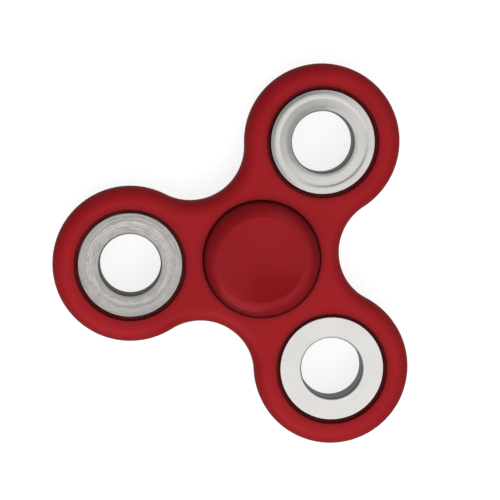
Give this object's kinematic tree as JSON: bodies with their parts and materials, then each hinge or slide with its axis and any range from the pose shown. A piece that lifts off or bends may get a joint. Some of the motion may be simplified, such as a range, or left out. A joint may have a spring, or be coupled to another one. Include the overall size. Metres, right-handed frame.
{
  "type": "fidget spinner",
  "caption": "Hand-held fidget spinner: a lobed moulded body with a steel weight ring in each lobe turns on a shielded ball bearing held between dished finger caps.",
  "frame": {"origin": "middle of the ball bearing, on the spin axis, halfway through the body's thickness", "axes": "+Z along the spin axis, out of the front finger cap; the lobes' middles are at 60, 180 and 300 degrees from +X towards +Y, so one lobe points along -X"},
  "size_m": [0.0693, 0.0752, 0.013],
  "materials": {
    "body_plastic": "satin moulded red plastic",
    "cap_plastic": "polished moulded red plastic",
    "weight_steel": "turned steel",
    "bearing_steel": "ground bearing steel",
    "ball_steel": "polished bearing steel",
    "cage_steel": "pressed steel strip",
    "shield_steel": "pressed sheet steel",
    "spring_steel": "drawn spring wire"
  },
  "bodies": {
    "hub": {"front_cap": "cap_plastic", "back_cap": "cap_plastic", "bearing_inner_race": "bearing_steel"},
    "rotor": {"spinner_body": "body_plastic", "weight_ring_1": "weight_steel", "weight_ring_2": "weight_steel", "weight_ring_3": "weight_steel", "bearing_outer_race": "bearing_steel", "front_shield": "shield_steel", "back_shield": "shield_steel", "front_shield_clip": "spring_steel", "back_shield_clip": "spring_steel"},
    "ball_cage": {"cage_front_half": "cage_steel", "cage_back_half": "cage_steel", "cage_rivets": "cage_steel"},
    "ball_1": {"bearing_ball_1": "ball_steel"},
    "ball_2": {"bearing_ball_2": "ball_steel"},
    "ball_3": {"bearing_ball_3": "ball_steel"},
    "ball_4": {"bearing_ball_4": "ball_steel"},
    "ball_5": {"bearing_ball_5": "ball_steel"},
    "ball_6": {"bearing_ball_6": "ball_steel"},
    "ball_7": {"bearing_ball_7": "ball_steel"}
  },
  "joints": [
    {"name": "rotor_spin", "type": "hinge", "parent": "hub", "child": "rotor", "pos_m": [0, 0, 0], "axis": [0, 0, 1], "continuous": true},
    {"name": "cage_spin", "type": "hinge", "parent": "hub", "child": "ball_cage", "pos_m": [0, 0, 0], "axis": [0, 0, 1], "continuous": true},
    {"name": "ball_1_spin", "type": "hinge", "parent": "ball_cage", "child": "ball_1", "pos_m": [0.0075, 0, 0], "axis": [0, 0, 1], "continuous": true},
    {"name": "ball_2_spin", "type": "hinge", "parent": "ball_cage", "child": "ball_2", "pos_m": [0.00468, 0.00586, 0], "axis": [0, 0, 1], "continuous": true},
    {"name": "ball_3_spin", "type": "hinge", "parent": "ball_cage", "child": "ball_3", "pos_m": [-0.00167, 0.00731, 0], "axis": [0, 0, 1], "continuous": true},
    {"name": "ball_4_spin", "type": "hinge", "parent": "ball_cage", "child": "ball_4", "pos_m": [-0.00676, 0.00325, 0], "axis": [0, 0, 1], "continuous": true},
    {"name": "ball_5_spin", "type": "hinge", "parent": "ball_cage", "child": "ball_5", "pos_m": [-0.00676, -0.00325, 0], "axis": [0, 0, 1], "continuous": true},
    {"name": "ball_6_spin", "type": "hinge", "parent": "ball_cage", "child": "ball_6", "pos_m": [-0.00167, -0.00731, 0], "axis": [0, 0, 1], "continuous": true},
    {"name": "ball_7_spin", "type": "hinge", "parent": "ball_cage", "child": "ball_7", "pos_m": [0.00468, -0.00586, 0], "axis": [0, 0, 1], "continuous": true}
  ],
  "couplings": [
    {"joint": "cage_spin", "follows": "rotor_spin", "ratio": 0.6323},
    {"joint": "ball_1_spin", "follows": "rotor_spin", "ratio": 1.7573},
    {"joint": "ball_2_spin", "follows": "rotor_spin", "ratio": 1.7573},
    {"joint": "ball_3_spin", "follows": "rotor_spin", "ratio": 1.7573},
    {"joint": "ball_4_spin", "follows": "rotor_spin", "ratio": 1.7573},
    {"joint": "ball_5_spin", "follows": "rotor_spin", "ratio": 1.7573},
    {"joint": "ball_6_spin", "follows": "rotor_spin", "ratio": 1.7573},
    {"joint": "ball_7_spin", "follows": "rotor_spin", "ratio": 1.7573}
  ]
}
